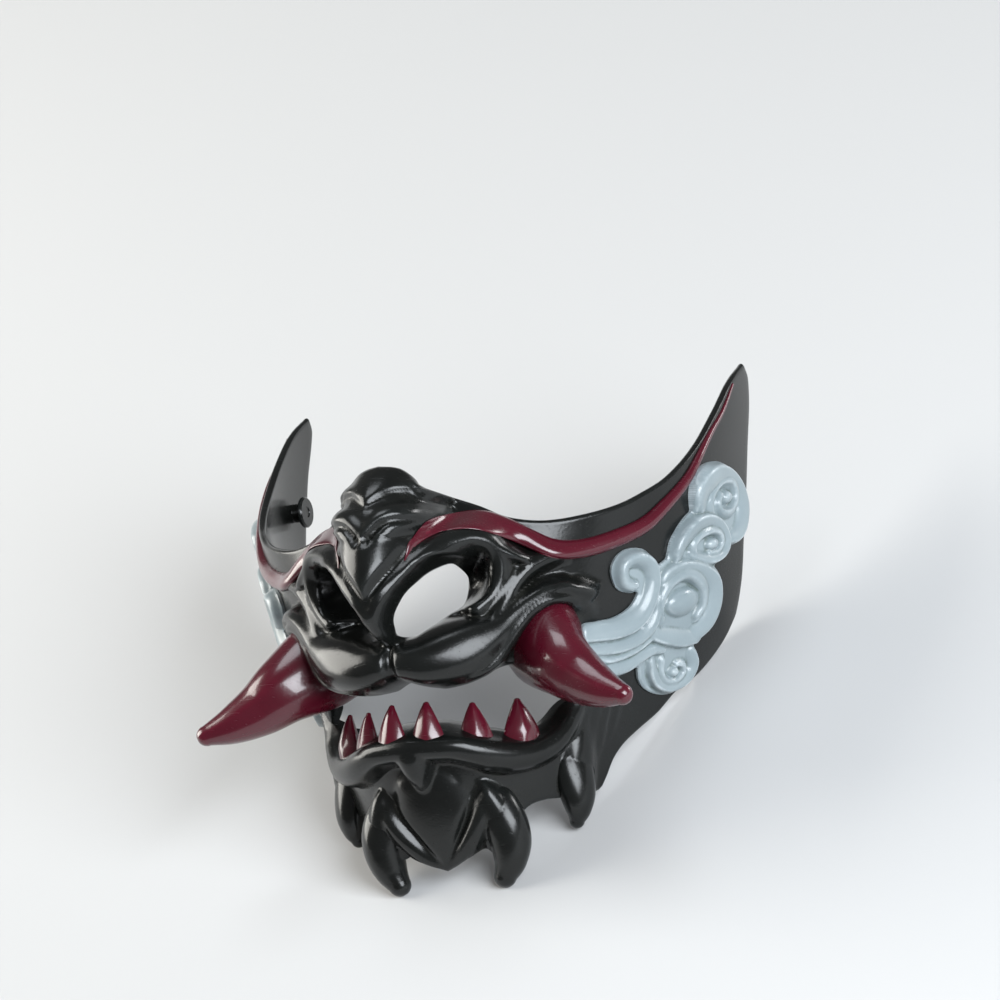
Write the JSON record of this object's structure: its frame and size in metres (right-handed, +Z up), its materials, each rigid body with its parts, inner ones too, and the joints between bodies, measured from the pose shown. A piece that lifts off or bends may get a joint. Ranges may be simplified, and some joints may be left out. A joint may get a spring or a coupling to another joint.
{
  "type": "samurai face guard",
  "caption": "Moulded half mask of a snarling face with tusks, fangs and teeth, covering nose, cheeks, mouth and jaw, with brow ridges and a scroll cloud on each wing.",
  "frame": {"origin": "middle of the bounding box, at the level of the surface that the mask lies on", "axes": "+Z up; +Y from the face towards the two wings' ends; +X to the wearer's left. The mask leans back and lies on its two jaw corners and two side spikes, as it does by itself"},
  "size_m": [0.1624, 0.1742, 0.1163],
  "materials": {
    "black": "gloss black, satin soft reflections",
    "burgundy": "gloss dark red paint",
    "cloud_grey": "satin blue-grey paint with paler edges"
  },
  "bodies": {
    "root": {"shell": "black", "tusk_left": "burgundy", "tusk_right": "burgundy", "ridge_left": "burgundy", "ridge_right": "burgundy", "tooth_1": "burgundy", "tooth_2": "burgundy", "tooth_3": "burgundy", "tooth_4": "burgundy", "tooth_5": "burgundy", "tooth_6": "burgundy", "cloud_left": "cloud_grey", "cloud_right": "cloud_grey", "strap_post_left": "black", "strap_post_right": "black"}
  },
  "joints": []
}
